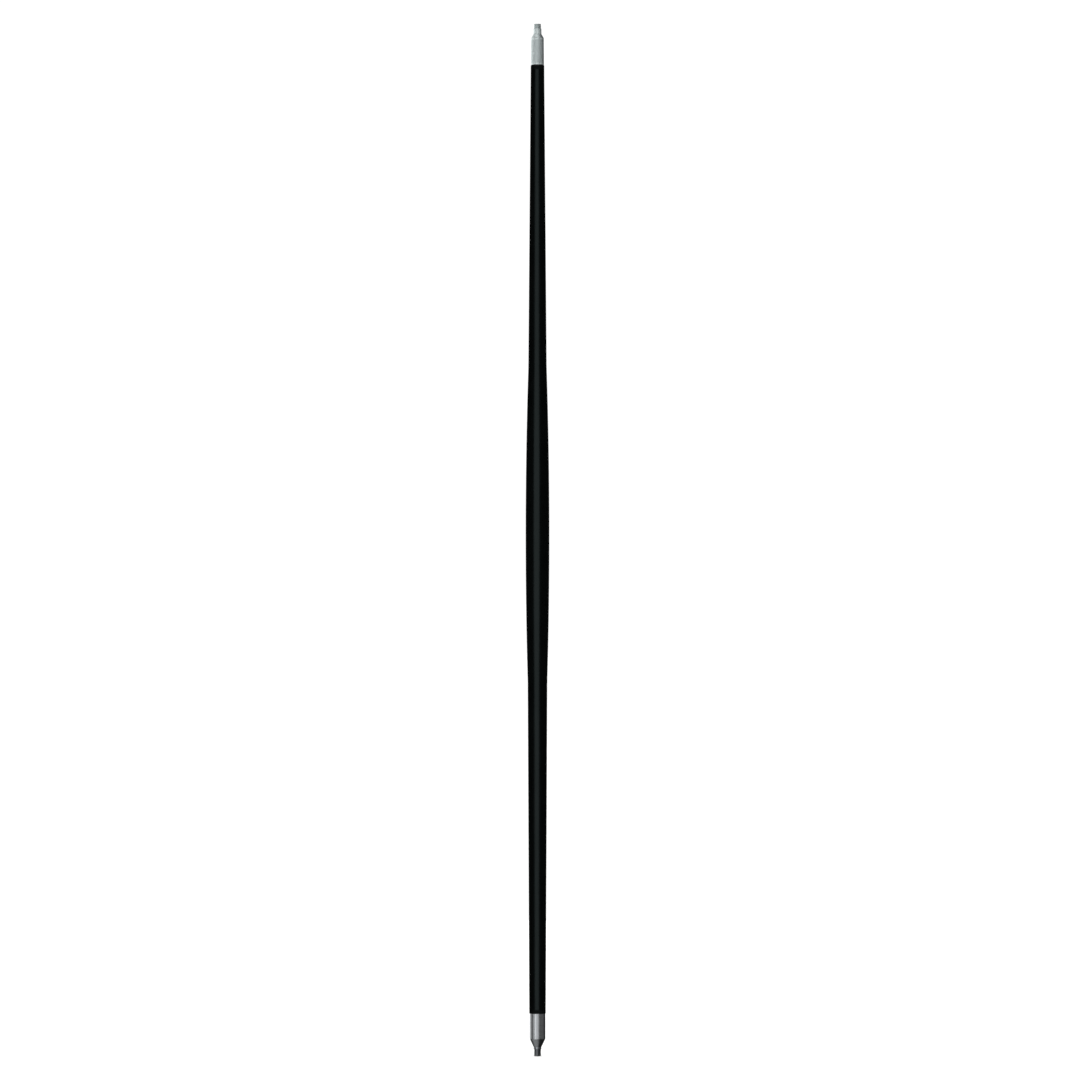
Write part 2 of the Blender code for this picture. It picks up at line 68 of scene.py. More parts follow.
def addNode(tree, kind, inputs=None, **settings):
    # inputs: socket name or number -> value, socket, or node (its first output)
    node = tree.nodes.new(kind)
    for setting, value in settings.items():
        setattr(node, setting, value)
    for socket, value in (inputs or {}).items():
        if isinstance(value, bpy.types.Node):
            value = value.outputs[0]
        if isinstance(value, bpy.types.NodeSocket):
            tree.links.new(value, node.inputs[socket])
        else:
            node.inputs[socket].default_value = value
    return node


def newMaterial(name, **shaderValues):
    # a Principled surface, with what is the same all over set on its own sockets
    material = bpy.data.materials.new(name)
    material.use_nodes = True
    tree = material.node_tree
    shader = tree.nodes["Principled BSDF"]
    for socket, value in shaderValues.items():
        shader.inputs[socket.replace("_", " ")].default_value = value
    place = addNode(tree, "ShaderNodeTexCoord").outputs["Object"]
    return material, tree, shader, place


def streaks(tree, place, width, length, detail, roughness=0.5):
    # noise drawn out along the pole
    stretched = addNode(tree, "ShaderNodeMapping", {
        "Vector": place, "Scale": (1 / width, 1 / width, 1 / length)})
    return addNode(tree, "ShaderNodeTexNoise", {
        "Vector": stretched, "Scale": 1.0, "Detail": detail, "Roughness": roughness})


def insideOf(tree, height, bottom, top):
    # how far above bottom or below top a height is, whichever is less
    fromBottom = addNode(tree, "ShaderNodeMath", {0: height, 1: bottom}, operation="SUBTRACT")
    fromTop = addNode(tree, "ShaderNodeMath", {0: top, 1: height}, operation="SUBTRACT")
    return addNode(tree, "ShaderNodeMath", {0: fromBottom, 1: fromTop}, operation="MINIMUM")


def surface(tree, shader, values, stain, dull, relief, height, spread=(0.3, 0.7), under=None):
    # stain mixes the two colours, dull goes from the first roughness to the second over its spread, and
    # relief is a bump of this height, on top of the bump under it
    colours, roughness = values["colours"], values["roughness"]
    colour = addNode(tree, "ShaderNodeMix", {
        "Factor": stain, 6: linearColour(colours[0]), 7: linearColour(colours[1])}, data_type="RGBA")
    tree.links.new(colour.outputs[2], shader.inputs["Base Color"])
    rough = addNode(tree, "ShaderNodeMapRange", {
        "Value": dull, "From Min": spread[0], "From Max": spread[1],
        "To Min": roughness[0], "To Max": roughness[1]})
    tree.links.new(rough.outputs[0], shader.inputs["Roughness"])
    bump = addNode(tree, "ShaderNodeBump", {"Height": relief, "Distance": height})
    if under:
        tree.links.new(under.outputs[0], bump.inputs["Normal"])
    tree.links.new(bump.outputs[0], shader.inputs["Normal"])
    return colour.outputs[2], rough


satinLacquer = {
    "colours": ("#010202", "#040505"),
    "blotch": 30 * mm,
    "specularLevel": 0.24,  # half the usual gloss
    "specularTint": "#e6ffff",
    "roughness": (0.25, 0.33),
    "gripPolish": 0.05,  # hands smooth the swell a little
    "gripReach": (80 * mm, 260 * mm),  # from its middle: all of the polish, and none
    "peelCell": 2.2 * mm,  # orange peel left by the spray gun
    "peelHeight": 0.004 * mm,
    "scuffSpacing": 3.0 * mm,
    "scuffLength": 45 * mm,
    "scuffHeight": 0.002 * mm,
    "scuffSpread": (0.35, 0.65),
    "endBand": 5.0 * mm,  # dull, where the ends were masked
    "bandEdge": 0.3 * mm,  # each way
    "endRoughness": 0.75,
}


def makeSatinLacquer(swellHeight, bottom, top):
    # Black polyurethane lacquer, sprayed over glass fibre and flatted: near black, with one soft highlight
    # that breaks up slightly over the orange peel, and hairline scuffs along the pole.
    values = satinLacquer
    material, tree, shader, place = newMaterial(
        "satin_black_lacquer_sprayed", IOR=1.5, Specular_IOR_Level=values["specularLevel"],
        Specular_Tint=linearColour(values["specularTint"]))
    blotches = addNode(tree, "ShaderNodeTexNoise", {
        "Vector": place, "Scale": 1 / values["blotch"], "Detail": 3.0})
    scuffs = streaks(tree, place, values["scuffSpacing"], values["scuffLength"], 5.0, 0.7)
    peel = addNode(tree, "ShaderNodeTexNoise", {
        "Vector": place, "Scale": 1 / values["peelCell"], "Detail": 1.0})
    peel = addNode(tree, "ShaderNodeBump", {"Height": peel, "Distance": values["peelHeight"]})
    rough = surface(tree, shader, values, blotches, scuffs, scuffs, values["scuffHeight"],
                    spread=values["scuffSpread"], under=peel)[1]
    height = addNode(tree, "ShaderNodeSeparateXYZ", {0: place}).outputs["Z"]
    fromMiddle = addNode(tree, "ShaderNodeMath", {0: height, 1: swellHeight}, operation="SUBTRACT")
    fromMiddle = addNode(tree, "ShaderNodeMath", {0: fromMiddle}, operation="ABSOLUTE")
    handled = addNode(tree, "ShaderNodeMapRange", {
        "Value": fromMiddle, "From Min": values["gripReach"][0], "From Max": values["gripReach"][1],
        "To Min": values["gripPolish"], "To Max": 0.0}, interpolation_type="SMOOTHSTEP")
    rough = addNode(tree, "ShaderNodeMath", {0: rough, 1: handled}, operation="SUBTRACT")
    fromEnd = insideOf(tree, height, bottom, top)
    band, edge = values["endBand"], values["bandEdge"]
    dull = addNode(tree, "ShaderNodeMapRange", {
        "Value": fromEnd, "From Min": band - edge, "From Max": band + edge, "To Min": 1.0, "To Max": 0.0})
    rough = addNode(tree, "ShaderNodeMix", {"Factor": dull, 2: rough, 3: values["endRoughness"]})
    tree.links.new(rough.outputs[0], shader.inputs["Roughness"])
    return material


zincPlate = {
    "colours": ("#c0caca", "#d4dcdc"),
    # painted shade: the dark colour that the knurl's grooves go towards
    "grooveShadeColour": "#858d8e",
    "roughness": (0.5, 0.62),
    "spangle": 1.6 * mm,  # zinc crystals
    "cloud": 6 * mm,
    "cloudShare": 0.6,  # the rest is spangle
    "grain": 0.15 * mm,
    "grainHeight": 0.006 * mm,
    "shadeFrom": 0.35,  # share of the groove's depth
    "mostShade": 0.6,  # share of the groove's colour
}


def makeZincPlate():
    # Zinc plate, clear passivated: a light, even, slightly bluish grey with no clear reflection. Painted
    # shade darkens the knurl's grooves with their depth, which the piece marks in its own attribute.
    values = zincPlate
    material, tree, shader, place = newMaterial("zinc_plated_steel_passivated", Metallic=1.0)
    spangle = addNode(tree, "ShaderNodeTexVoronoi", {"Vector": place, "Scale": 1 / values["spangle"]})
    cloud = addNode(tree, "ShaderNodeTexNoise", {
        "Vector": place, "Scale": 1 / values["cloud"], "Detail": 4.0})
    mottle = addNode(tree, "ShaderNodeMix", {
        "Factor": values["cloudShare"], 2: spangle.outputs["Color"], 3: cloud.outputs[0]})
    grain = addNode(tree, "ShaderNodeTexNoise", {
        "Vector": place, "Scale": 1 / values["grain"], "Detail": 2.0})
    plain = surface(tree, shader, values, mottle, mottle, grain, values["grainHeight"], (0.0, 1.0))[0]
    groove = addNode(tree, "ShaderNodeAttribute", attribute_name="grooveDepth").outputs["Fac"]
    # painted shade: the deeper a point lies in a groove, the more of the dark groove colour it gets
    grooveShade = addNode(tree, "ShaderNodeMapRange", {
        "Value": groove, "From Min": values["shadeFrom"], "From Max": 1.0,
        "To Min": 0.0, "To Max": values["mostShade"]})
    colour = addNode(tree, "ShaderNodeMix", {
        "Factor": grooveShade, 6: plain, 7: linearColour(values["grooveShadeColour"])}, data_type="RGBA")
    tree.links.new(colour.outputs[2], shader.inputs["Base Color"])
    return material


turnedMetals = {
    # bright, with clear soft bands of light
    "nickel_plated_steel_polished": {
        "colours": ("#a3a7aa", "#b7babc"), "roughness": (0.26, 0.36),
        "feed": 0.35 * mm, "height": 0.0025 * mm,
    },
    # darker, a little greasy
    "carbon_steel_turned_oiled": {
        "colours": ("#7b7e82", "#969a9d"), "roughness": (0.26, 0.4),
        "feed": 0.3 * mm, "height": 0.004 * mm,
    },
    # blue-grey from tempering
    "spring_steel_rolled_blued": {
        "colours": ("#4c5056", "#6c7178"), "roughness": (0.3, 0.45),
        "feed": 0.5 * mm, "height": 0.004 * mm,
    },
    # pale, with the tool's rings
    "aluminium_bar_turned": {
        "colours": ("#b4b7b9", "#cacccd"), "roughness": (0.25, 0.38),
        "feed": 0.3 * mm, "height": 0.004 * mm,
    },
}

turning = {
    "ringRun": 1 / 60,  # metres round a piece before a ring changes
    "stain": 9 * mm,
}


def makeTurnedMetal(name):
    # Turned or rolled metal: fine level lines, the tool's rings on an upright piece, drag the highlight out
    # along the pole. The feed is drawn coarser than the real 0.1 mm, so that it shows close up.
    values = turnedMetals[name]
    material, tree, shader, place = newMaterial(name, Metallic=1.0)
    stains = addNode(tree, "ShaderNodeTexNoise", {
        "Vector": place, "Scale": 1 / turning["stain"], "Detail": 5.0, "Roughness": 0.6})
    rings = streaks(tree, place, turning["ringRun"], values["feed"], 3.0, 0.65)
    surface(tree, shader, values, stains, rings, rings, values["height"])
    return material


drawnAluminium = {
    "colours": ("#b9bcbf", "#d0d2d4"),
    "roughness": (0.24, 0.4),
    "drawSpacing": 0.35 * mm,
    "drawLength": 120 * mm,
    "drawHeight": 0.004 * mm,
    "handling": 25 * mm,  # cloudy patches
}


def makeDrawnAluminium():
    # 6063 tube, drawn and clear anodised: long faint die lines down the tube, satin between them.
    values = drawnAluminium
    material, tree, shader, place = newMaterial("aluminium_tube_drawn_anodised", Metallic=1.0)
    lines = streaks(tree, place, values["drawSpacing"], values["drawLength"], 4.0, 0.6)
    handling = addNode(tree, "ShaderNodeTexNoise", {
        "Vector": place, "Scale": 1 / values["handling"], "Detail": 3.0})
    surface(tree, shader, values, handling, lines, lines, values["drawHeight"])
    return material


mouldedPolymers = {
    # dark charcoal, neither matt nor glossy
    "nylon_black_moulded": {
        "colours": ("#101112", "#1b1c1d"), "roughness": (0.42, 0.6),
        "ior": 1.53,
        "grain": 0.25 * mm, "height": 0.012 * mm,
    },
    # duller and a little greyer
    "nitrile_rubber_moulded": {
        "colours": ("#141414", "#1f1f1f"), "roughness": (0.7, 0.85),
        "ior": 1.52,
        "grain": 0.4 * mm, "height": 0.02 * mm,
    },
}

flowPatch = 7 * mm


def makeMouldedPolymer(name):
    # Injection moulded: even colour, a fine spark-eroded grain, and slightly glossier flow patches.
    values = mouldedPolymers[name]
    material, tree, shader, place = newMaterial(name, IOR=values["ior"])
    flow = addNode(tree, "ShaderNodeTexNoise", {"Vector": place, "Scale": 1 / flowPatch, "Detail": 2.0})
    grain = addNode(tree, "ShaderNodeTexVoronoi", {"Vector": place, "Scale": 1 / values["grain"]})
    surface(tree, shader, values, flow, flow, grain.outputs["Distance"], values["height"])
    return material


turnedPoplar = {
    "colours": ("#b89a70", "#dcc69c"),
    "roughness": (0.55, 0.75),
    "ringScale": 20.0,  # of the wave texture, whose rings are then about 16 mm apart
    "ringStretch": 0.03,  # the grain runs along the pole
    "heart": (11 * mm, 4 * mm, 0.0),  # from the tree's centre to the pole's axis
    "poreLength": 8 * mm,
    "poreWidth": 0.2 * mm,
    "poreDepth": 0.03 * mm,
    "poreShare": 0.4,
}


def makeTurnedPoplar():
    # Poplar, turned and left unsealed: pale straight grain along the pole, with short dark pores.
    values = turnedPoplar
    material, tree, shader, place = newMaterial("poplar_turned_unsealed", IOR=1.5)
    board = addNode(tree, "ShaderNodeMapping", {
        "Vector": place, "Scale": (1.0, 1.0, values["ringStretch"]), "Location": values["heart"]})
    rings = addNode(tree, "ShaderNodeTexWave", {
        "Vector": board, "Scale": values["ringScale"], "Distortion": 2.0, "Detail": 3.0,
    }, wave_type="RINGS", rings_direction="Z")
    pores = streaks(tree, place, values["poreWidth"], values["poreLength"], 2.0)
    grain = addNode(tree, "ShaderNodeMix", {
        "Factor": values["poreShare"], 2: rings.outputs[1], 3: pores.outputs[0]})
    surface(tree, shader, values, grain, pores, pores, values["poreDepth"], (0.0, 1.0))
    return material


def filleted(corners, arcSteps=6):
    # (radius, height, fillet, spacing) corners to an outline: each fillet becomes an arc, and the run to
    # the next corner is cut into steps no longer than spacing
    outline = []
    count = len(corners)
    for i, (radius, height, fillet, spacing) in enumerate(corners):
        here = Vector((radius, height))
        following = corners[(i + 1) % count]
        back = Vector(corners[i - 1][:2]) - here
        ahead = Vector(following[:2]) - here
        if fillet > 0:
            angle = back.angle(ahead)
            reach = fillet / math.tan(angle / 2)
            start, end = here + back.normalized() * reach, here + ahead.normalized() * reach
            inward = (back.normalized() + ahead.normalized()).normalized()
            middle = here + inward * (fillet / math.sin(angle / 2))
            sweep = math.pi - angle
            sweep *= 1 if (start - middle).cross(end - middle) > 0 else -1
            outline += [middle + Matrix.Rotation(sweep * step / arcSteps, 2) @ (start - middle)
                        for step in range(arcSteps + 1)]
        else:
            outline.append(here)
        if spacing:
            steps = max(1, math.ceil((ahead.length - following[2]) / spacing))
            begin = outline[-1]
            finish = here + ahead - ahead.normalized() * following[2]
            outline += [begin.lerp(finish, step / steps) for step in range(1, steps)]
    return [tuple(point) for point in outline]


def turnedMesh(name, outline, sides, closed=True):
    # spins an outline of (radius, height) points; points on the axis become poles
    columns = []
    vertices = []
    for radius, height in outline:
        if radius < 1e-9:
            columns.append([len(vertices)] * sides)
            vertices.append((0.0, 0.0, height))
            continue
        columns.append(list(range(len(vertices), len(vertices) + sides)))
        angles = [math.tau * side / sides for side in range(sides)]
        vertices += [(radius * math.cos(angle), radius * math.sin(angle), height) for angle in angles]
    faces = []
    for low, high in zip(columns, columns[1:] + columns[:1] if closed else columns[1:]):
        if low[0] == low[1] and high[0] == high[1]:
            continue
        for side in range(sides):
            after = (side + 1) % sides
            corners = [low[side], low[after], high[after], high[side]]
            faces.append(list(dict.fromkeys(corners)))
    mesh = bpy.data.meshes.new(name)
    mesh.from_pydata(vertices, [], faces)
    return mesh


creaseAngle = math.radians(32)  # a corner sharper than this stays crisp


def faceOut(mesh):
    form = bmesh.new()
    form.from_mesh(mesh)
    bmesh.ops.recalc_face_normals(form, faces=form.faces)
    form.to_mesh(mesh)
    form.free()


def newPiece(name, mesh, material):
    # outward normals and smooth shading with crisp corners, standing where its mesh says
    faceOut(mesh)
    mesh.shade_smooth()
    mesh.set_sharp_from_angle(angle=creaseAngle)
    mesh.name = name
    mesh.materials.clear()
    mesh.materials.append(material)
    piece = bpy.data.objects.new(name, mesh)
    bpy.context.scene.collection.objects.link(piece)
    return piece


def turnedPiece(name, material, sides, corners, closed=True):
    # corners as filleted takes them
    return newPiece(name, turnedMesh(name, filleted(corners), sides, closed), material)


def bakeModifiers(piece):
    graph = bpy.context.evaluated_depsgraph_get()
    mesh = bpy.data.meshes.new_from_object(piece.evaluated_get(graph), depsgraph=graph)
    piece.modifiers.clear()
    piece.data = mesh
    mesh.name = piece.name


def cutAway(piece, shape, crease=creaseAngle):
    # takes a closed mesh out of the piece, and makes the cut's rim crisp
    faceOut(shape)
    cutter = bpy.data.objects.new("cutter", shape)
    bpy.context.scene.collection.objects.link(cutter)
    cut = piece.modifiers.new("cut", "BOOLEAN")
    cut.operation, cut.solver, cut.object = "DIFFERENCE", "EXACT", cutter
    bakeModifiers(piece)
    piece.data.set_sharp_from_angle(angle=crease)
    bpy.data.objects.remove(cutter)


def drill(piece, radius, place, length=40 * mm, sides=40, crease=creaseAngle):
    # a round hole along the Z axis of place, half of length each way
    hole = turnedMesh("hole", [
        (0.0, -length / 2), (radius, -length / 2), (radius, length / 2), (0.0, length / 2)], sides)
    hole.transform(place)
    cutAway(piece, hole, crease)


def across(height, turn=0.0):
    # lays what stands on Z level through the pole's axis, turned about it from the front
    level = Matrix.Rotation(turn, 4, "Z") @ Matrix.Rotation(math.pi / 2, 4, "X")
    return Matrix.Translation((0.0, 0.0, height)) @ level


def middleOf(node):
    low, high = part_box(node)
    return (low + high) / 2


def newGeometryTree(name, sizes):
    # a tree with the geometry, named sizes and the material as inputs
    tree = bpy.data.node_groups.new(name, "GeometryNodeTree")
    tree.is_modifier = True
    tree.interface.new_socket("Geometry", in_out="INPUT", socket_type="NodeSocketGeometry")
    for label in sizes:
        tree.interface.new_socket(label, in_out="INPUT", socket_type="NodeSocketFloat")
    tree.interface.new_socket("Material", in_out="INPUT", socket_type="NodeSocketMaterial")
    tree.interface.new_socket("Geometry", in_out="OUTPUT", socket_type="NodeSocketGeometry")
    return tree, addNode(tree, "NodeGroupInput").outputs


def endGeometryTree(tree, geometry, given):
    real = addNode(tree, "GeometryNodeRealizeInstances", {0: geometry})
    painted = addNode(tree, "GeometryNodeSetMaterial", {"Geometry": real, "Material": given["Material"]})
    addNode(tree, "NodeGroupOutput", {0: painted})


def applyGeometryTree(piece, tree, values):
    # fills the inputs that values names, and the material with the piece's own
    work = piece.modifiers.new(tree.name, "NODES")
    work.node_group = tree
    given = {**values, "Material": piece.active_material}
    for socket in tree.interface.items_tree:
        if socket.in_out == "INPUT" and socket.name in given:
            work[socket.identifier] = given[socket.name]
    bakeModifiers(piece)


def roundTheAxis(tree):
    # each point's coordinates, its offset from the pole's axis and how far that is
    axes = addNode(tree, "ShaderNodeSeparateXYZ", {0: addNode(tree, "GeometryNodeInputPosition")}).outputs
    flat = addNode(tree, "ShaderNodeCombineXYZ", {"X": axes["X"], "Y": axes["Y"]})
    radius = addNode(tree, "ShaderNodeVectorMath", {0: flat}, operation="LENGTH").outputs["Value"]
    return axes, flat, radius


def makeBarrelTree():
    # turns a straight tube blank down to two tapers with the swell's arc melted over them
    tree, given = newGeometryTree("turnBarrel", [
        "blank", "bottom", "top", "buttRadius", "middleRadius", "headRadius",
        "swellHeight", "swellRadius", "swellArc", "blend", "band", "grooveWidth", "grooveDepth",
    ])
    axes, flat, radius = roundTheAxis(tree)
    height = axes["Z"]
    lower = addNode(tree, "ShaderNodeMapRange", {
        "Value": height, "From Min": given["bottom"], "From Max": given["swellHeight"],
        "To Min": given["buttRadius"], "To Max": given["middleRadius"]}, clamp=False)
    upper = addNode(tree, "ShaderNodeMapRange", {
        "Value": height, "From Min": given["swellHeight"], "From Max": given["top"],
        "To Min": given["middleRadius"], "To Max": given["headRadius"]}, clamp=False)
    taper = addNode(tree, "ShaderNodeMath", {0: lower, 1: upper}, operation="MINIMUM")
    away = addNode(tree, "ShaderNodeMath", {0: height, 1: given["swellHeight"]}, operation="SUBTRACT")
    square = addNode(tree, "ShaderNodeMath", {0: away, 1: away}, operation="MULTIPLY")
    twiceArc = addNode(tree, "ShaderNodeMath", {0: given["swellArc"], 1: 2.0}, operation="MULTIPLY")
    drop = addNode(tree, "ShaderNodeMath", {0: square, 1: twiceArc}, operation="DIVIDE")
    swell = addNode(tree, "ShaderNodeMath", {0: given["swellRadius"], 1: drop}, operation="SUBTRACT")
    outline = addNode(tree, "ShaderNodeMath", {
        0: taper, 1: swell, 2: given["blend"]}, operation="SMOOTH_MAX")
    # a shallow groove marks each end band
    fromEnd = insideOf(tree, height, given["bottom"], given["top"])
    fromGroove = addNode(tree, "ShaderNodeMath", {0: fromEnd, 1: given["band"]}, operation="SUBTRACT")
    fromGroove = addNode(tree, "ShaderNodeMath", {0: fromGroove}, operation="ABSOLUTE")
    groove = addNode(tree, "ShaderNodeMapRange", {
        "Value": fromGroove, "From Min": 0.0, "From Max": given["grooveWidth"],
        "To Min": given["grooveDepth"], "To Max": 0.0}, interpolation_type="SMOOTHSTEP")
    outline = addNode(tree, "ShaderNodeMath", {0: outline, 1: groove}, operation="SUBTRACT")
    inset = addNode(tree, "ShaderNodeMath", {0: given["blank"], 1: radius}, operation="SUBTRACT")
    target = addNode(tree, "ShaderNodeMath", {0: outline, 1: inset}, operation="SUBTRACT")
    share = addNode(tree, "ShaderNodeMath", {0: target, 1: radius}, operation="DIVIDE")
    turned = addNode(tree, "ShaderNodeVectorMath", {0: flat, "Scale": share}, operation="SCALE")
    raised = addNode(tree, "ShaderNodeCombineXYZ", {"Z": height})
    moved = addNode(tree, "ShaderNodeVectorMath", {0: turned, 1: raised}, operation="ADD")
    geometry = addNode(tree, "GeometryNodeSetPosition", {"Geometry": given["Geometry"], "Position": moved})
    endGeometryTree(tree, geometry, given)
    return tree


def makeCutterTree(name, mirrored):
    # cuts V grooves that wind round the axis: one set for a thread, a mirrored second set for a knurl. Only
    # points outside leastRadius and between bottom and top are cut, and the cut fades in over fade.
    tree, given = newGeometryTree(name, [
        "starts", "lead", "depth", "crest", "root", "bottom", "top", "fade", "leastRadius"])
    axes, flat, radius = roundTheAxis(tree)
    height = axes["Z"]
    angle = addNode(tree, "ShaderNodeMath", {0: axes["Y"], 1: axes["X"]}, operation="ARCTAN2")
    turns = addNode(tree, "ShaderNodeMath", {0: angle, 1: math.tau}, operation="DIVIDE")
    turns = addNode(tree, "ShaderNodeMath", {0: turns, 1: given["starts"]}, operation="MULTIPLY")
    climb = addNode(tree, "ShaderNodeMath", {0: height, 1: given["lead"]}, operation="DIVIDE")
    climb = addNode(tree, "ShaderNodeMath", {0: climb, 1: given["starts"]}, operation="MULTIPLY")
    cuts = []
    for operation in ("SUBTRACT", "ADD") if mirrored else ("SUBTRACT",):
        phase = addNode(tree, "ShaderNodeMath", {0: climb, 1: turns}, operation=operation)
        away = addNode(tree, "ShaderNodeMath", {0: phase, 1: 0.5}, operation="PINGPONG")
        cuts.append(addNode(tree, "ShaderNodeMapRange", {
            "Value": away, "From Min": given["crest"], "From Max": given["root"],
            "To Min": 0.0, "To Max": 1.0}))
    cut = cuts[0]
    if mirrored:
        cut = addNode(tree, "ShaderNodeMath", {0: cuts[0], 1: cuts[1]}, operation="MAXIMUM")
    within = insideOf(tree, height, given["bottom"], given["top"])
    fade = addNode(tree, "ShaderNodeMapRange", {
        "Value": within, "From Min": 0.0, "From Max": given["fade"]}, interpolation_type="SMOOTHSTEP")
    outside = addNode(tree, "ShaderNodeMath", {
        0: radius, 1: given["leastRadius"]}, operation="GREATER_THAN")
    fade = addNode(tree, "ShaderNodeMath", {0: fade, 1: outside}, operation="MULTIPLY")
    cut = addNode(tree, "ShaderNodeMath", {0: cut, 1: fade}, operation="MULTIPLY")
    depth = addNode(tree, "ShaderNodeMath", {0: cut, 1: given["depth"]}, operation="MULTIPLY")
    inward = addNode(tree, "ShaderNodeMath", {0: depth, 1: -1.0}, operation="MULTIPLY")
    outwards = addNode(tree, "ShaderNodeVectorMath", {0: flat}, operation="NORMALIZE")
    offset = addNode(tree, "ShaderNodeVectorMath", {0: outwards, "Scale": inward}, operation="SCALE")
    geometry = addNode(tree, "GeometryNodeSetPosition", {"Geometry": given["Geometry"], "Offset": offset})
    marked = addNode(tree, "GeometryNodeStoreNamedAttribute", {
        "Geometry": geometry, "Name": "grooveDepth", "Value": cut}, data_type="FLOAT", domain="POINT")
    endGeometryTree(tree, marked, given)
    return tree


rolledPins = {
    "butt_pin": {"radius": 2.0 * mm, "wall": 0.7 * mm},
    "stop_pin": {"radius": 1.25 * mm, "wall": 0.5 * mm},
    "lock_plug_pin": {"radius": 1.25 * mm, "wall": 0.5 * mm},
}

pinRolling = {
    "slit": math.radians(40),
    "steps": 40,
    "lead": 0.3 * mm,  # eased ends, to start the pin in its hole
    "clearance": 0.1 * mm,
}


def drillForPin(piece, node):
    drill(piece, rolledPins[node]["radius"] + pinRolling["clearance"], across(middleOf(node).z))


poleSkin = {
    "sides": 128,
    "blank": 20 * mm,  # radius of the straight tube that the barrel is turned from
    "wall": 0.7 * mm,
    "rowSpacing": 6 * mm,
    "boreRowSpacing": 48 * mm,
    "bandRowSpacing": 0.2 * mm,
    "edge": 0.25 * mm,
    "swellHeight": 732 * mm,
    "middleRadius": 14.76 * mm,
    "swellRadius": 16.72 * mm,
    "swellArc": 7.25,  # metres, the radius of the swell's long arc
    "blend": 0.18 * mm,
    "band": 5.0 * mm,
    "grooveWidth": 0.35 * mm,
    "grooveDepth": 0.12 * mm,
    "buttRadius": 11.63 * mm,
    "headRadius": 9.49 * mm,
}


def makePoleSkin(material):
    values = poleSkin
    low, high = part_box("body_skin")
    bottom, top = low.z, high.z
    blank, fine = values["blank"], values["bandRowSpacing"]
    bandEnd = values["band"] + 2 * values["grooveWidth"]
    piece = turnedPiece("pole_skin", material, values["sides"], [
        (blank - values["wall"], bottom, 0, 0),
        (blank, bottom, values["edge"], fine),
        (blank, bottom + bandEnd, 0, values["rowSpacing"]),
        (blank, top - bandEnd, 0, fine),
        (blank, top, values["edge"], 0),
        (blank - values["wall"], top, 0, values["boreRowSpacing"]),
    ])
    applyGeometryTree(piece, makeBarrelTree(), {**values, "bottom": bottom, "top": top})
    return piece


buttFerrule = {
    "sides": 128,
    "noseRadius": 5.8 * mm,
    "shoulderHeight": 24.3 * mm,
    "sleeveTop": 60.0 * mm,  # against the skin
    "spigotRadius": 10.8 * mm,
    "sleeveRadius": 11.1 * mm,
    "tubeSeat": 28.1 * mm,
    "tubeBore": 8.7 * mm,
    "studBore": 5.1 * mm,
    "shoulderFillet": 1.6 * mm,
    "edge": 0.3 * mm,
}


def makeButtFerrule(material):
    values = buttFerrule
    low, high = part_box("butt_ferrule")
    piece = turnedPiece("butt_ferrule_polished", material, values["sides"], [
        (values["studBore"], low.z, 0, 0),
        (values["noseRadius"], low.z, values["edge"], 0),
        (values["sleeveRadius"], values["shoulderHeight"], values["shoulderFillet"], 0),
        (values["sleeveRadius"], values["sleeveTop"], values["edge"], 0),
        (values["spigotRadius"], values["sleeveTop"], 0, 0),
        (values["spigotRadius"], high.z, values["edge"], 0),
        (values["tubeBore"], high.z, 0, 0),
        (values["tubeBore"], values["tubeSeat"], 0, 0),
        (values["studBore"], values["tubeSeat"], 0, 0),
    ])
    drillForPin(piece, "butt_pin")
    return piece


studs = {
    "sides": 96,
    "radius": 5.0 * mm,
    "neckRadius": 5.5 * mm,
    "pitch": 1.0 * mm,  # M10 fine
    "depth": 0.5 * mm,
    "rowsAPitch": 12,
    "chamfer": 0.5 * mm,
    "relief": 0.6 * mm,  # plain run under the neck
    "neckEdge": 0.35 * mm,
    "crest": 0.16,  # where the flanks start and end, in pitches from the crest's middle
    "root": 0.44,
    "tipEdge": 0.15 * mm,
    "leastRadius": 4.2 * mm,
    "butt_stud": {"neck": 3.5 * mm, "freeEnd": 13.3 * mm, "pointsUp": False},
    "head_stud": {"neck": 7.8 * mm, "freeEnd": 14.5 * mm, "pointsUp": True},
}


def makeStud(name, node, material, threadTree):
    # built with its free end at height 0 and its shank up, then stood on the node's box
    values = studs
    low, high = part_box(node)
    length = high.z - low.z
    neckTop = values[node]["freeEnd"]  # against the ferrule's nose
    neckBottom = neckTop - values[node]["neck"]
    row = values["pitch"] / values["rowsAPitch"]
    radius = values["radius"]
    piece = turnedPiece(name, material, values["sides"], [
        (0.0, 0.0, 0, 0),
        (radius - values["chamfer"], 0.0, values["tipEdge"], row),
        (radius, values["chamfer"], values["tipEdge"], row),
        (radius, neckBottom, 0, 0),
        (values["neckRadius"], neckBottom, values["neckEdge"], 0),
        (values["neckRadius"], neckTop, values["neckEdge"], 0),
        (radius, neckTop, 0, 0),
        (radius, length - values["chamfer"], 0, 0),
        (radius - values["chamfer"], length, 0, 0),
        (0.0, length, 0, 0),
    ], closed=False)
    applyGeometryTree(piece, threadTree, {
        **values, "starts": 1.0, "lead": values["pitch"], "bottom": -0.5 * values["pitch"],
        "top": neckBottom - values["relief"] + 0.5 * values["pitch"], "fade": 0.5 * values["pitch"],
    })
    pointsUp = values[node]["pointsUp"]
    flip = Matrix.Rotation(math.pi, 4, "X") if pointsUp else Matrix.Identity(4)
    piece.data.transform(Matrix.Translation((0.0, 0.0, high.z if pointsUp else low.z)) @ flip)
    return piece


mouthBush = {
    "sides": 96,
    "bore": 6.5 * mm,
    "sleeveRadius": 7.5 * mm,
    "flangeRadius": 9.2 * mm,
    "sleeveEdge": 0.5 * mm,
    "underEdge": 0.15 * mm,
    "lip": 0.18 * mm,
}


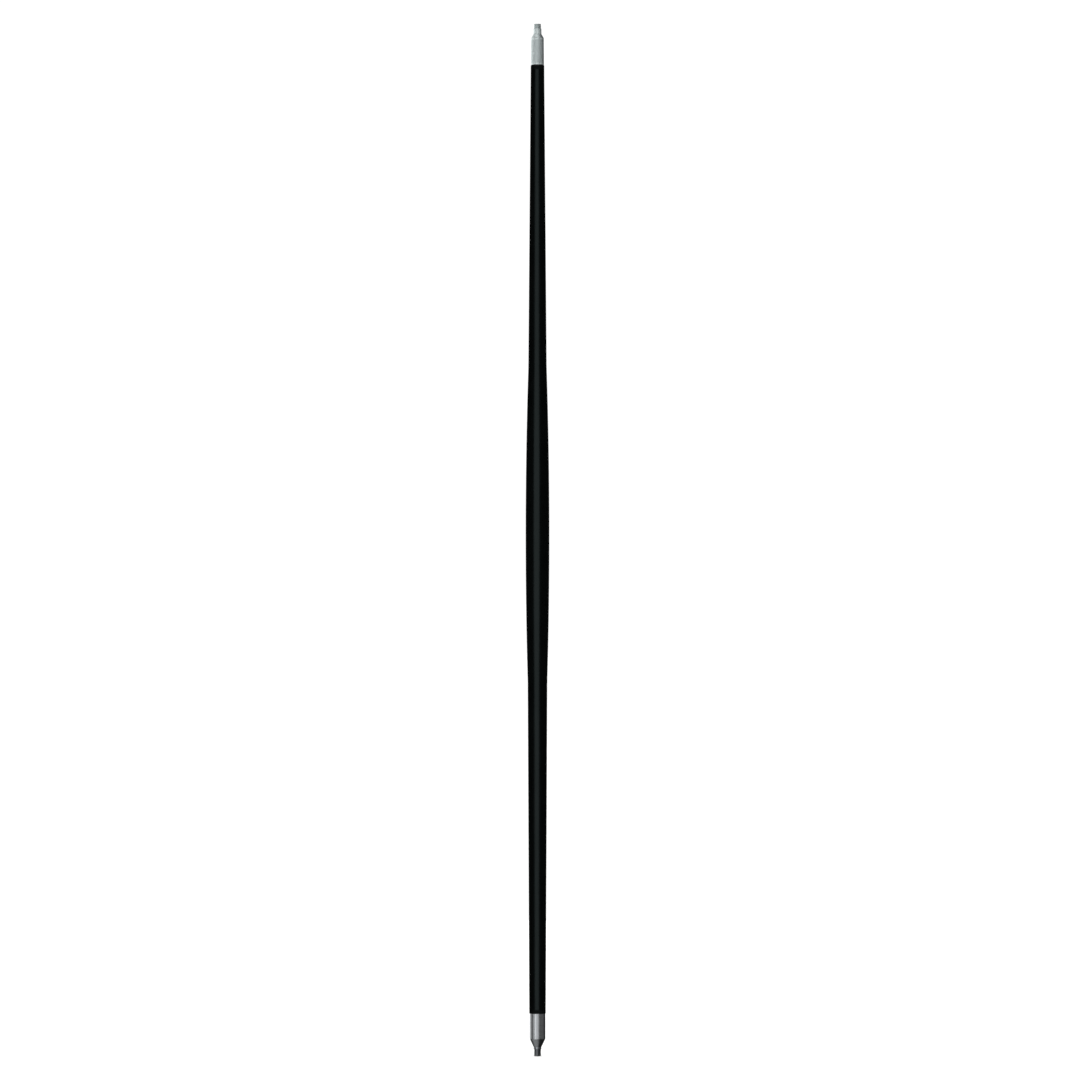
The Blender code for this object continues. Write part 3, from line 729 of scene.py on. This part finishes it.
def makeMouthBush(material):
    values = mouthBush
    low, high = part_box("mouth_bush")
    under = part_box("body_skin")[1].z  # sits on the skin
    return turnedPiece("mouth_bush_moulded", material, values["sides"], [
        (values["bore"], low.z, 0, 0),
        (values["sleeveRadius"], low.z, values["sleeveEdge"], 0),
        (values["sleeveRadius"], under, 0, 0),
        (values["flangeRadius"], under, values["underEdge"], 0),
        (values["flangeRadius"], high.z, values["lip"], 0),
        (values["bore"], high.z, values["lip"], 0),
    ])


headFerrule = {
    "sides": 288,  # eight round each knurl tooth
    "noseRadius": 5.8 * mm,
    "topRadius": 8.75 * mm,
    "shoulderHeight": 1430.2 * mm,
    "tubeSeat": 1418.7 * mm,
    "tubeBore": 6.45 * mm,
    "studBore": 5.1 * mm,
    "shoulderFillet": 1.2 * mm,
    "edge": 0.4 * mm,
    "baseRadius": 9.03 * mm,
    "teeth": 36,
    "depth": 0.13 * mm,
    "crest": 0.18,  # as on the studs, in tooth widths
    "root": 0.42,
    "fade": 0.5 * mm,
    "leastRadius": 7.75 * mm,
    "knurlMargin": 2.0 * mm,  # plain rings below and above the knurl
    "knurlRow": 0.19 * mm,
    "knurlCrease": math.radians(60),  # keeps the knurl itself smooth
    "pinHeight": 1408.5 * mm,
    "pinTurn": math.radians(-41),
    "pinHole": 2.1 * mm,
}


def makeHeadFerrule(material, knurlTree):
    values = headFerrule
    low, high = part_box("head_ferrule")
    knurlTop = values["shoulderHeight"] - values["knurlMargin"]
    topRadius, baseRadius = values["topRadius"], values["baseRadius"]
    piece = turnedPiece("head_ferrule_knurled", material, values["sides"], [
        (values["tubeBore"], low.z, 0, 0),
        (baseRadius, low.z, values["edge"], values["knurlRow"]),
        (topRadius, values["shoulderHeight"], values["shoulderFillet"], 0),
        (values["noseRadius"], high.z, values["edge"], 0),
        (values["studBore"], high.z, 0, 0),
        (values["studBore"], values["tubeSeat"], 0, 0),
        (values["tubeBore"], values["tubeSeat"], 0, 0),
    ])
    applyGeometryTree(piece, knurlTree, {
        **values, "starts": float(values["teeth"]), "lead": math.tau * baseRadius,
        "bottom": low.z + values["knurlMargin"], "top": knurlTop,
    })
    place = across(values["pinHeight"], values["pinTurn"])
    drill(piece, values["pinHole"], place, crease=values["knurlCrease"])
    return piece


headDowel = {
    "sides": 48,
    "radius": 2.0 * mm,
    "length": 17.4 * mm,
    "edge": 0.35 * mm,
}


def makeHeadDowel(material):
    # a plain dowel across the ferrule and the tube, its ends just under the ferrule's surface
    values = headDowel
    half = values["length"] / 2
    mesh = turnedMesh("head_pin_dowel", filleted([
        (0.0, -half, 0, 0),
        (values["radius"], -half, values["edge"], 0),
        (values["radius"], half, values["edge"], 0),
        (0.0, half, 0, 0),
    ]), values["sides"], closed=False)
    mesh.transform(across(headFerrule["pinHeight"], headFerrule["pinTurn"]))
    return newPiece("head_pin_dowel", mesh, material)


innerTube = {
    "sides": 96,
    "outer": 6.35 * mm,
    "inner": 5.35 * mm,
    "edge": 0.2 * mm,
    "rowSpacing": 50 * mm,
}


def makeInnerTube(material):
    values = innerTube
    low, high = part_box("inner_tube")
    piece = turnedPiece("inner_tube_drawn", material, values["sides"], [
        (values["inner"], low.z, 0, 0),
        (values["outer"], low.z, values["edge"], values["rowSpacing"]),
        (values["outer"], high.z, values["edge"], 0),
        (values["inner"], high.z, 0, values["rowSpacing"]),
    ])
    drill(piece, headFerrule["pinHole"], across(headFerrule["pinHeight"], headFerrule["pinTurn"]))
    for node in ("stop_pin", "lock_plug_pin"):
        drillForPin(piece, node)
    return piece


def splitSleeveMesh(name, inner, outer, length, slit, edge, steps):
    # a C in section, as long as length on Z and centred on it, with its slit on +X and its ends eased
    angles = [slit / 2 + (math.tau - slit) * step / steps for step in range(steps + 1)]
    rows = [(-length / 2, edge), (edge - length / 2, 0.0), (length / 2 - edge, 0.0), (length / 2, edge)]
    vertices = []
    for height, drop in rows:
        vertices += [((outer - drop) * math.cos(a), (outer - drop) * math.sin(a), height) for a in angles]
        vertices += [(inner * math.cos(a), inner * math.sin(a), height) for a in reversed(angles)]
    loop = 2 * len(angles)
    faces = []
    for row in range(len(rows) - 1):
        for i in range(loop):
            here, after = row * loop + i, row * loop + (i + 1) % loop
            faces.append((here, after, after + loop, here + loop))
    for start in (0, (len(rows) - 1) * loop):
        faces += [(start + i, start + i + 1, start + loop - 2 - i, start + loop - 1 - i)
                  for i in range(steps)]
    mesh = bpy.data.meshes.new(name)
    mesh.from_pydata(vertices, [], faces)
    return mesh


def makeRolledPin(name, node, material):
    values = rolledPins[node]
    low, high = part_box(node)
    radius = values["radius"]
    mesh = splitSleeveMesh(name, radius - values["wall"], radius, high.y - low.y, pinRolling["slit"],
                           pinRolling["lead"], pinRolling["steps"])
    mesh.transform(across(middleOf(node).z))
    return newPiece(name, mesh, material)


guideRing = {
    "bore": 5.75 * mm,
    "outside": 7.45 * mm,
    "slit": 1.5 * mm,
    "edge": 0.5 * mm,
    "steps": 120,
}


def makeGuideRing(material):
    # split, so that it springs over the plug's journal
    values = guideRing
    low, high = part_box("guide_ring")
    mesh = splitSleeveMesh("guide_ring_moulded", values["bore"], values["outside"], high.z - low.z,
                           values["slit"] / values["outside"], values["edge"], values["steps"])
    raised = Matrix.Translation((0.0, 0.0, middleOf("guide_ring").z))
    mesh.transform(raised @ Matrix.Rotation(math.pi / 2, 4, "Z"))
    return newPiece("guide_ring_moulded", mesh, material)


# Plain turned pieces: corners in mm as (radius, height above its foot, fillet, longest row). A height of
# "top" is the node's own length, and an outline that starts and ends on the axis is solid.
outerTube = {
    "corners": [(7.6, 0, 0.2, 0), (8.6, 0, 0.2, 50), (8.6, "top", 0.2, 0), (7.6, "top", 0.2, 50)],
    "pin": "butt_pin",
}
buttPlug = {
    "corners": [(0, 34.5, 0, 0), (5.1, 33, 0, 0), (5.1, 0, 0.4, 0), (7.5, 0, 0.5, 0),
                (7.5, "top", 0.5, 0), (0, "top", 0, 0)],
    "pin": "butt_pin",
}
tubeBumper = {"corners": [(0, 0, 0, 0), (7.5, 0, 0.2, 0), (7.5, "top", 2.0, 0), (0, "top", 0, 0)]}
stopCollar = {
    "corners": [(6.45, 0, 0.2, 0), (7.4, 0, 0.45, 0), (7.4, "top", 0.45, 0), (6.45, "top", 0.2, 0)],
    "pin": "stop_pin",
}
lockSpindle = {
    "corners": [(0, 14, 0, 0), (2.1, 13, 0, 0), (2.1, 0, 0.3, 0), (3.5, 0, 0.2, 0),
                (3.5, "top", 0.6, 0), (0, "top", 0, 0)],
    "sides": 64,
}
lockCam = {
    "corners": [(0, 0, 0, 0), (6.9, 0, 0.6, 0), (6.9, "top", 0.6, 0), (0, "top", 0, 0)],
    "bore": 3.65 * mm,
}
camWasher = {"corners": [(2.1, 0, 0.1, 0), (6.0, 0, 0.25, 0), (6.0, "top", 0.25, 0), (2.1, "top", 0.1, 0)]}
lockPlug = {
    "corners": [(0, 0, 0, 0), (7.1, 0, 0.5, 0), (7.1, 4, 0.3, 0), (5.6, 4, 0.2, 0), (5.6, 16, 0.2, 0),
                (6.35, 16, 0.2, 0), (6.35, 18, 0.15, 0), (5.25, 18, 0.1, 0), (5.25, "top", 0.6, 0),
                (0, "top", 0, 0)],
    "pin": "lock_plug_pin",
    "seat": 3.6 * mm,  # for the spindle
    "seatGap": 0.2 * mm,
}
camScrew = {
    "corners": [(0, 0, 0, 0), (2.8, 0, 2.2, 0), (4.3, 1.0, 1.2, 0), (4.3, 2.8, 0.2, 0),
                (2.0, 2.8, 0.15, 0.0583), (2.0, "top", 0.35, 0), (0, "top", 0, 0)],  # 12 rows a pitch
    "sides": 64,
    "pitch": 0.7 * mm,  # M4
    "depth": 0.4 * mm,
    "crest": 0.12,  # where the flanks start and end, in pitches from the crest's middle
    "root": 0.44,
    "head": 2.8 * mm,
    "leastRadius": 1.8 * mm,
    "slotWidth": 1.0 * mm,
    "slotDepth": 1.2 * mm,
    "slotLength": 20 * mm,  # right across the head
}


def makePlainTurned(name, node, values, material):
    # spins the corners on the node's own axis, from its foot up, and drills for its pin
    low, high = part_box(node)
    length = (high.z - low.z) / mm
    corners = [(radius * mm, (length if height == "top" else height) * mm, fillet * mm, row * mm)
               for radius, height, fillet, row in values["corners"]]
    mesh = turnedMesh(name, filleted(corners), values.get("sides", 96), closed=corners[0][0] > 0)
    middle = middleOf(node)
    mesh.transform(Matrix.Translation((middle.x, middle.y, low.z)))
    piece = newPiece(name, mesh, material)
    if "pin" in values:
        drillForPin(piece, values["pin"])
    return piece


def makeLockPlug(material):
    piece = makePlainTurned("lock_plug_moulded", "lock_plug", lockPlug, material)
    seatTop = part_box("lock_spindle")[1].z + lockPlug["seatGap"]
    reach = 40 * mm  # past the flange
    spindle = middleOf("lock_spindle")
    place = Matrix.Translation((spindle.x, spindle.y, seatTop - reach / 2))
    drill(piece, lockPlug["seat"], place, reach, 64)
    return piece


def makeLockCam(material):
    # bored off its centre, for the spindle
    piece = makePlainTurned("lock_cam_moulded", "lock_cam", lockCam, material)
    spindle = middleOf("lock_spindle")
    place = Matrix.Translation((spindle.x, spindle.y, middleOf("lock_cam").z))
    drill(piece, lockCam["bore"], place, sides=64)
    return piece


def makeCamScrew(material, threadTree):
    # a slotted pan head, down, and a threaded shank
    values = camScrew
    piece = makePlainTurned("cam_screw_slotted", "cam_screw", values, material)
    middle, low = middleOf("cam_screw"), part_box("cam_screw")[0].z
    piece.data.transform(Matrix.Translation((-middle.x, -middle.y, -low)))
    applyGeometryTree(piece, threadTree, {
        **values, "starts": 1.0, "lead": values["pitch"], "bottom": values["head"] + 2 * values["pitch"],
        "top": 1.0, "fade": 0.5 * values["pitch"],  # the thread runs out of the tip
    })
    form = bmesh.new()
    bmesh.ops.create_cube(form, size=1.0)
    size = (values["slotWidth"], values["slotLength"], 2 * values["slotDepth"])
    bmesh.ops.scale(form, verts=form.verts, vec=size)
    slot = bpy.data.meshes.new("slot")
    form.to_mesh(slot)
    form.free()
    cutAway(piece, slot)
    piece.data.transform(Matrix.Translation((middle.x, middle.y, low)))
    return piece


woodCores = {
    "sides": 96,
    "bore": 8.7 * mm,
    "glueGap": 0.1 * mm,
    "edge": 0.3 * mm,
    "rowSpacing": 40 * mm,
    "swellRows": 48,
}


def taperRadius(height):
    # the two straight tapers of the lacquered outline
    values = poleSkin
    low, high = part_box("body_skin")
    if height < values["swellHeight"]:
        share = (height - low.z) / (values["swellHeight"] - low.z)
        return values["buttRadius"] + share * (values["middleRadius"] - values["buttRadius"])
    share = (height - values["swellHeight"]) / (high.z - values["swellHeight"])
    return values["middleRadius"] + share * (values["headRadius"] - values["middleRadius"])


def barrelRadius(height):
    # the tapers with the swell's arc melted over them, as makeBarrelTree turns it
    values = poleSkin
    taper = taperRadius(height)
    arc = values["swellRadius"] - (height - values["swellHeight"]) ** 2 / (2 * values["swellArc"])
    melt = max(values["blend"] - abs(arc - taper), 0.0) / values["blend"]
    return max(arc, taper) + melt ** 3 * values["blend"] / 6


def makeTaperedCore(name, node, material):
    values = woodCores
    low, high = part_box(node)
    inset = poleSkin["wall"] + values["glueGap"]
    return turnedPiece(name, material, values["sides"], [
        (values["bore"], low.z, 0, 0),
        (taperRadius(low.z) - inset, low.z, values["edge"], values["rowSpacing"]),
        (taperRadius(high.z) - inset, high.z, values["edge"], 0),
        (values["bore"], high.z, 0, values["rowSpacing"]),
    ])


def makeSwellCore(material):
    # a barrel sleeve over the joint of the two tapered cores
    values = woodCores
    low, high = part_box("swell_core")
    rows = values["swellRows"]
    heights = [low.z + (high.z - low.z) * row / rows for row in range(rows + 1)]
    outside = [(barrelRadius(height) - poleSkin["wall"] - values["glueGap"], height) for height in heights]
    joint = (taperRadius(poleSkin["swellHeight"]) - poleSkin["wall"], poleSkin["swellHeight"])
    inside = [(taperRadius(high.z) - poleSkin["wall"], high.z), joint,
              (taperRadius(low.z) - poleSkin["wall"], low.z)]
    mesh = turnedMesh("swell_core_turned", outside + inside, values["sides"])
    return newPiece("swell_core_turned", mesh, material)


print("materials")
skinLow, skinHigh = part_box("body_skin")
lacquer = makeSatinLacquer(poleSkin["swellHeight"], skinLow.z, skinHigh.z)
zinc = makeZincPlate()
polished = makeTurnedMetal("nickel_plated_steel_polished")
darkSteel = makeTurnedMetal("carbon_steel_turned_oiled")
springSteel = makeTurnedMetal("spring_steel_rolled_blued")
turnedAluminium = makeTurnedMetal("aluminium_bar_turned")
aluminium = makeDrawnAluminium()
nylon = makeMouldedPolymer("nylon_black_moulded")
rubber = makeMouldedPolymer("nitrile_rubber_moulded")
poplar = makeTurnedPoplar()

print("outer pole")
threadTree = makeCutterTree("cutThread", mirrored=False)
knurlTree = makeCutterTree("cutKnurl", mirrored=True)
skin = makePoleSkin(lacquer)
ferrule = makeButtFerrule(polished)
buttStud = makeStud("butt_stud_threaded", "butt_stud", darkSteel, threadTree)
bush = makeMouthBush(nylon)

print("inner pole")
knurled = makeHeadFerrule(zinc, knurlTree)
headStud = makeStud("head_stud_threaded", "head_stud", zinc, threadTree)
headPin = makeHeadDowel(zinc)
tube = makeInnerTube(aluminium)

print("inside the pole")
placed = {
    "outer_pole": [
        (skin, "body_skin", "black_skin"),
        (ferrule, "butt_ferrule", "polished_steel"),
        (buttStud, "butt_stud", "dark_steel"),
        (bush, "mouth_bush", "black_nylon"),
        (makeTaperedCore("lower_core_turned", "lower_core", poplar), "lower_core", "core_wood"),
        (makeTaperedCore("upper_core_turned", "upper_core", poplar), "upper_core", "core_wood"),
        (makeSwellCore(poplar), "swell_core", "core_wood"),
        (makePlainTurned("outer_tube_drawn", "outer_tube", outerTube, aluminium),
         "outer_tube", "aluminium_tube"),
        (makePlainTurned("butt_plug_turned", "butt_plug", buttPlug, turnedAluminium),
         "butt_plug", "aluminium_tube"),
        (makeRolledPin("butt_pin_rolled", "butt_pin", springSteel), "butt_pin", "dark_steel"),
        (makePlainTurned("tube_bumper_moulded", "tube_bumper", tubeBumper, rubber),
         "tube_bumper", "bumper_rubber"),
    ],
    "glide": [(makeGuideRing(nylon), "guide_ring", "black_nylon")],
    "inner_pole": [
        (knurled, "head_ferrule", "zinc_plate"),
        (headStud, "head_stud", "zinc_plate"),
        (headPin, "head_pin", "zinc_plate"),
        (tube, "inner_tube", "aluminium_tube"),
        (makeLockPlug(nylon), "lock_plug", "black_nylon"),
        (makePlainTurned("lock_spindle_turned", "lock_spindle", lockSpindle, darkSteel),
         "lock_spindle", "dark_steel"),
        (makePlainTurned("cam_washer_turned", "cam_washer", camWasher, darkSteel),
         "cam_washer", "dark_steel"),
        (makeCamScrew(darkSteel, threadTree), "cam_screw", "dark_steel"),
        (makePlainTurned("stop_collar_moulded", "stop_collar", stopCollar, nylon),
         "stop_collar", "black_nylon"),
        (makeRolledPin("stop_pin_rolled", "stop_pin", springSteel), "stop_pin", "dark_steel"),
        (makeRolledPin("lock_plug_pin_rolled", "lock_plug_pin", springSteel),
         "lock_plug_pin", "dark_steel"),
    ],
    "cam": [(makeLockCam(nylon), "lock_cam", "black_nylon")],
}

print("riding and replacing")
for body, rows in placed.items():
    for piece, node, slot in rows:
        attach(piece, body)
        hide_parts(node)


stage = {
    "floor": ("#f6f6f5", "#f9f9f8"),
    "floorSize": 60.0,
    "floorRoughness": 0.9,
    "rollerMarks": 3.0,  # a metre
    "backdrop": 1.05,  # what the camera sees of the world
    "dome": 1.3,  # what diffuse surfaces get
    "reflected": 0.015,  # what glossy surfaces see between the softboxes
}


def makeFloor():
    mesh = bpy.data.meshes.new("floor")
    half = stage["floorSize"] / 2
    corners = [(-half, -half, 0), (half, -half, 0), (half, half, 0), (-half, half, 0)]
    mesh.from_pydata(corners, [], [(0, 1, 2, 3)])
    floor = bpy.data.objects.new("floor", mesh)
    bpy.context.scene.collection.objects.link(floor)
    # matt white emulsion, with barely visible roller marks
    material, tree, shader, place = newMaterial(
        "studio_floor_painted", Roughness=stage["floorRoughness"])
    mottle = addNode(tree, "ShaderNodeTexNoise", {"Vector": place, "Scale": stage["rollerMarks"]})
    colour = addNode(tree, "ShaderNodeMix", {
        "Factor": mottle, 6: linearColour(stage["floor"][0]), 7: linearColour(stage["floor"][1]),
    }, data_type="RGBA")
    tree.links.new(colour.outputs[2], shader.inputs["Base Color"])
    mesh.materials.append(material)
    floor.visible_glossy = False
    floor.visible_shadow = False


def makeWorld():
    world = bpy.data.worlds.new("studio")
    bpy.context.scene.world = world
    world.use_nodes = True
    world.cycles.sampling_method = "NONE"
    tree = world.node_tree
    background = tree.nodes["Background"]
    rays = addNode(tree, "ShaderNodeLightPath")
    unseen = addNode(tree, "ShaderNodeMix", {
        "Factor": rays.outputs["Is Diffuse Ray"], 2: stage["reflected"], 3: stage["dome"]})
    strength = addNode(tree, "ShaderNodeMix", {
        "Factor": rays.outputs["Is Camera Ray"], 2: unseen, 3: stage["backdrop"]})
    tree.links.new(strength.outputs[0], background.inputs["Strength"])
    background.inputs["Color"].default_value = (1.0, 1.0, 1.0, 1.0)


shot = {
    "lens": 200.0,
    "sensor": 36.0,
    "frameHeight": 1517.4 * mm,  # what the square frame spans at the pole
    "middle": (3.5 * mm, 725.0 * mm),  # x and z at the frame's centre
}


def makeCamera():
    data = bpy.data.cameras.new("camera")
    data.lens, data.sensor_width = shot["lens"], shot["sensor"]
    distance = shot["frameHeight"] * shot["lens"] / shot["sensor"]
    camera = bpy.data.objects.new("camera", data)
    camera.location = (shot["middle"][0], -distance, shot["middle"][1])
    camera.rotation_euler = (math.pi / 2, 0.0, 0.0)
    data.clip_end = 100.0
    bpy.context.scene.collection.objects.link(camera)
    bpy.context.scene.camera = camera


softboxes = {
    # azimuth from the front, elevation, distance, width, height, radiance, and which pieces get it
    "key": (-9, 0, 2.5, 2.5, 3.4, 1.0, "all"),
    "backRim": (180, 0, 3.0, 2.2, 3.2, 1.1, "all"),
    "steelAccent": (-34, 0, 2.4, 0.7, 3.2, 1.3, "steel"),
    "steelFill": (-61, 0, 2.6, 1.1, 3.2, 0.66, "steel"),
    "steelSide": (-114, 0, 2.6, 1.3, 3.2, 0.78, "steel"),
    "steelWash": (-143, 0, 2.6, 1.4, 3.2, 1.3, "steel"),
    "steelRight": (68, 0, 2.6, 4.0, 3.2, 0.15, "steel"),
    "floorBounce": (-55, -60, 1.8, 2.6, 2.0, 0.38, "steel"),
    "zincFront": (-12, 0, 2.4, 2.4, 3.2, 0.74, "zinc"),
    "zincFill": (-78, 0, 2.6, 1.8, 3.2, 1.4, "zinc"),
    "zincWash": (-132, 0, 2.6, 2.6, 4.6, 1.85, "zinc"),
    "zincRight": (62, 0, 2.6, 2.4, 3.2, 0.78, "zinc"),
    "overhead": (-50, 75, 2.2, 2.4, 2.4, 1.6, "zinc"),
}


def makeSoftboxes(receivers):
    # receivers: who gets the boxes that aren't for everything
    groups = {}
    for group, pieces in receivers.items():
        groups[group] = bpy.data.collections.new("lit_" + group)
        for piece in pieces:
            groups[group].objects.link(piece)
    middle = shot["middle"][1]
    for name, (azimuth, elevation, distance, width, height, radiance, group) in softboxes.items():
        light = bpy.data.lights.new(name, "AREA")
        light.shape = "RECTANGLE"
        light.size, light.size_y = width, height
        light.energy = radiance * math.pi * width * height
        box = bpy.data.objects.new(name, light)
        turn, lift = math.radians(azimuth), math.radians(elevation)
        away = Vector((math.sin(turn) * math.cos(lift), -math.cos(turn) * math.cos(lift), math.sin(lift)))
        aim = Vector((0.0, 0.0, middle))
        if elevation:
            aim.z = cadBox[1].z if elevation > 0 else 0.0  # the head, or the foot
        box.location = aim + away * distance
        box.rotation_euler = (-away).to_track_quat("-Z", "Y").to_euler()
        box.visible_camera = False
        if group in groups:
            box.light_linking.receiver_collection = groups[group]
        bpy.context.scene.collection.objects.link(box)


print("stage")
makeFloor()
makeWorld()
makeSoftboxes({"steel": [ferrule, buttStud], "zinc": [knurled, headStud, headPin, tube]})
makeCamera()
bpy.context.scene.view_settings.view_transform = "Standard"

print("done")
